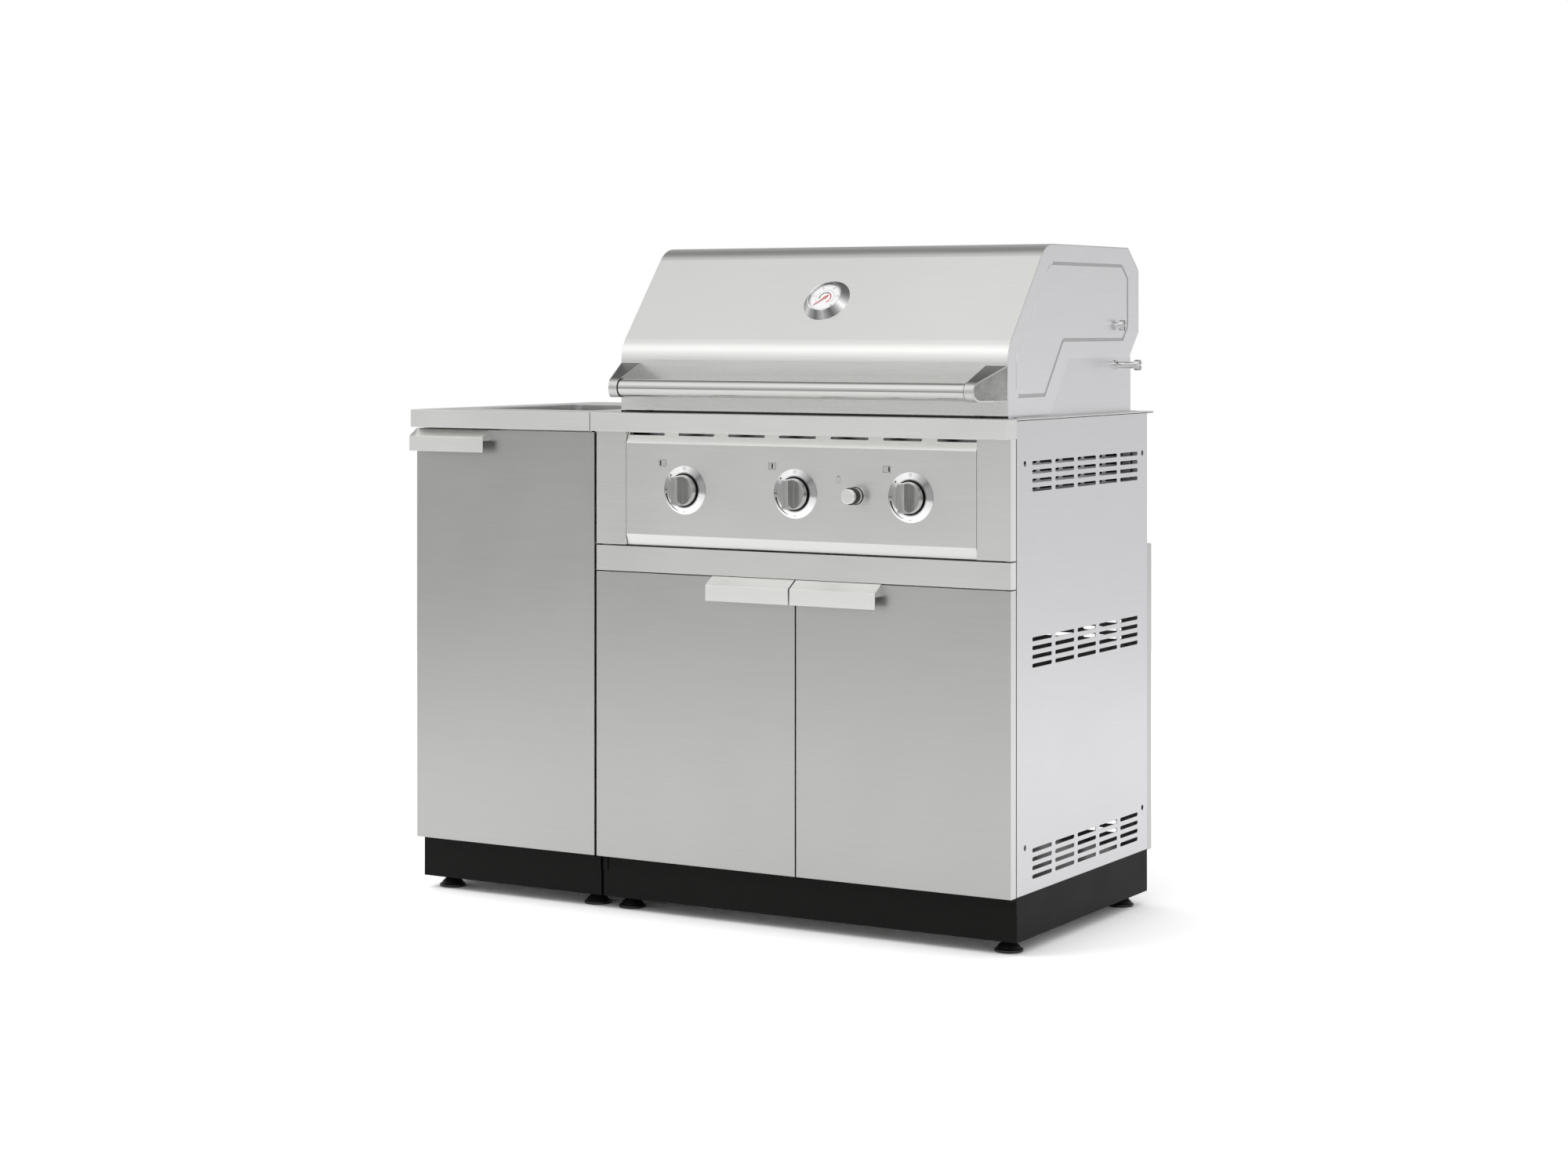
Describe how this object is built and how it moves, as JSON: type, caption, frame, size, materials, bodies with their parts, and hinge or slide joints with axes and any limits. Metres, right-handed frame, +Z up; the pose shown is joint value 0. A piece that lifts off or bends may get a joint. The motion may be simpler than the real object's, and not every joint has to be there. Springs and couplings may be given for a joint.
{
  "type": "outdoor kitchen island",
  "caption": "Stainless outdoor kitchen island: a door cabinet with a basin beside a cabinet with a built-in hooded gas grill, on black plinths and levelling feet.",
  "frame": {"origin": "on the ground under the middle of the island's overall box", "axes": "+X along the front to the right as a cook faces it, +Y from the front to the back, +Z up"},
  "size_m": [1.2802, 0.6455, 1.2225],
  "materials": {
    "brushed_stainless": "fine horizontal grain",
    "plain_stainless": "mill finish, satin",
    "satin_basin_steel": "satin",
    "enamelled_steel": "dark heat-proof enamel",
    "cast_iron_grate": "matt enamel",
    "black_painted_steel": "satin black powder coat",
    "black_plastic": "moulded",
    "black_rubber": "matt",
    "chrome_trim": "polished",
    "polished_bar": "fine polish along the bar",
    "cast_aluminium": "fine cast grain with polished edges",
    "pipe_aluminium": "extruded",
    "valve_brass": "machined",
    "dial_enamel": "white enamel",
    "needle_red": "red paint",
    "gauge_glass": "clear"
  },
  "bodies": {
    "cabinet": {"left_plinth": "black_painted_steel", "right_plinth": "black_painted_steel", "levelling_feet": "black_plastic", "left_outer_side": "brushed_stainless", "left_inner_side": "plain_stainless", "right_inner_side": "plain_stainless", "right_outer_side": "brushed_stainless", "cabinet_floors": "plain_stainless", "left_back_pan": "plain_stainless", "right_back_pan": "plain_stainless", "cross_rails": "plain_stainless", "left_shelf": "plain_stainless", "joining_bolts": "chrome_trim", "left_counter": "brushed_stainless", "right_counter": "brushed_stainless", "basin": "satin_basin_steel", "basin_drain": "satin_basin_steel", "door_hinge_pins": "plain_stainless", "front_rail": "brushed_stainless", "front_stiles": "brushed_stainless", "control_panel": "brushed_stainless", "knob_bezels": "chrome_trim", "igniter_collar": "chrome_trim", "manifold": "pipe_aluminium", "gas_valves": "valve_brass", "burners": "plain_stainless", "grill_chassis": "plain_stainless", "firebox": "enamelled_steel", "heat_tents": "plain_stainless", "cooking_grates": "cast_iron_grate", "warming_rack": "plain_stainless", "hood_hinge_pins": "chrome_trim", "hood_bumpers": "black_rubber"},
    "left_door": {"left_door_shell": "brushed_stainless", "left_door_liner": "plain_stainless", "left_door_handle": "brushed_stainless"},
    "middle_door": {"middle_door_shell": "brushed_stainless", "middle_door_liner": "plain_stainless", "middle_door_handle": "brushed_stainless"},
    "right_door": {"right_door_shell": "brushed_stainless", "right_door_liner": "plain_stainless", "right_door_handle": "brushed_stainless"},
    "hood": {"hood_skin": "brushed_stainless", "hood_sides": "brushed_stainless", "hood_hinge_arms": "plain_stainless", "hood_stop_bolts": "chrome_trim", "hood_handle_brackets": "cast_aluminium", "hood_handle_bar": "polished_bar", "gauge_case": "chrome_trim", "gauge_dial": "dial_enamel", "gauge_glass": "gauge_glass"},
    "needle": {"gauge_needle": "needle_red"},
    "tray": {"drip_tray": "plain_stainless"},
    "igniter": {"igniter_button": "chrome_trim"},
    "left_plunger": {"left_valve_plunger": "valve_brass"},
    "left_knob": {"left_knob": "chrome_trim"},
    "middle_plunger": {"middle_valve_plunger": "valve_brass"},
    "middle_knob": {"middle_knob": "chrome_trim"},
    "right_plunger": {"right_valve_plunger": "valve_brass"},
    "right_knob": {"right_knob": "chrome_trim"}
  },
  "joints": [
    {"name": "left_door_hinge", "type": "hinge", "parent": "cabinet", "child": "left_door", "pos_m": [-0.23647, -0.27805, 0.49125], "axis": [0, 0, 1], "range_deg": [0, 85]},
    {"name": "middle_door_hinge", "type": "hinge", "parent": "cabinet", "child": "middle_door", "pos_m": [-0.22118, -0.27805, 0.3638], "axis": [0, 0, -1], "range_deg": [0, 90]},
    {"name": "right_door_hinge", "type": "hinge", "parent": "cabinet", "child": "right_door", "pos_m": [0.61592, -0.27805, 0.3638], "axis": [0, 0, 1], "range_deg": [0, 110]},
    {"name": "hood_hinge", "type": "hinge", "parent": "cabinet", "child": "hood", "pos_m": [0.19737, 0.21695, 1.005], "axis": [-1, 0, 0], "range_deg": [0, 75]},
    {"name": "needle_turn", "type": "hinge", "parent": "hood", "child": "needle", "pos_m": [0.19737, -0.17045, 1.12285], "axis": [0, 0.7752, -0.6317], "range_deg": [0, 270], "stiffness_Nm_per_rad": 0.0004},
    {"name": "tray_slide", "type": "slide", "parent": "cabinet", "child": "tray", "axis": [0, 1, 0], "range_m": [0, 0.4]},
    {"name": "igniter_press", "type": "slide", "parent": "cabinet", "child": "igniter", "axis": [0, 1, 0], "range_m": [0, 0.004], "stiffness_N_per_m": 400},
    {"name": "left_knob_press", "type": "slide", "parent": "cabinet", "child": "left_plunger", "axis": [0, 1, 0], "range_m": [0, 0.003], "stiffness_N_per_m": 1200},
    {"name": "left_knob_turn", "type": "hinge", "parent": "left_plunger", "child": "left_knob", "pos_m": [-0.03383, -0.30105, 0.78], "axis": [0, -1, 0], "range_deg": [0, 180]},
    {"name": "middle_knob_press", "type": "slide", "parent": "cabinet", "child": "middle_plunger", "axis": [0, 1, 0], "range_m": [0, 0.003], "stiffness_N_per_m": 1200},
    {"name": "middle_knob_turn", "type": "hinge", "parent": "middle_plunger", "child": "middle_knob", "pos_m": [0.19737, -0.30105, 0.78], "axis": [0, -1, 0], "range_deg": [0, 180]},
    {"name": "right_knob_press", "type": "slide", "parent": "cabinet", "child": "right_plunger", "axis": [0, 1, 0], "range_m": [0, 0.003], "stiffness_N_per_m": 1200},
    {"name": "right_knob_turn", "type": "hinge", "parent": "right_plunger", "child": "right_knob", "pos_m": [0.42857, -0.30105, 0.78], "axis": [0, -1, 0], "range_deg": [0, 180]}
  ]
}
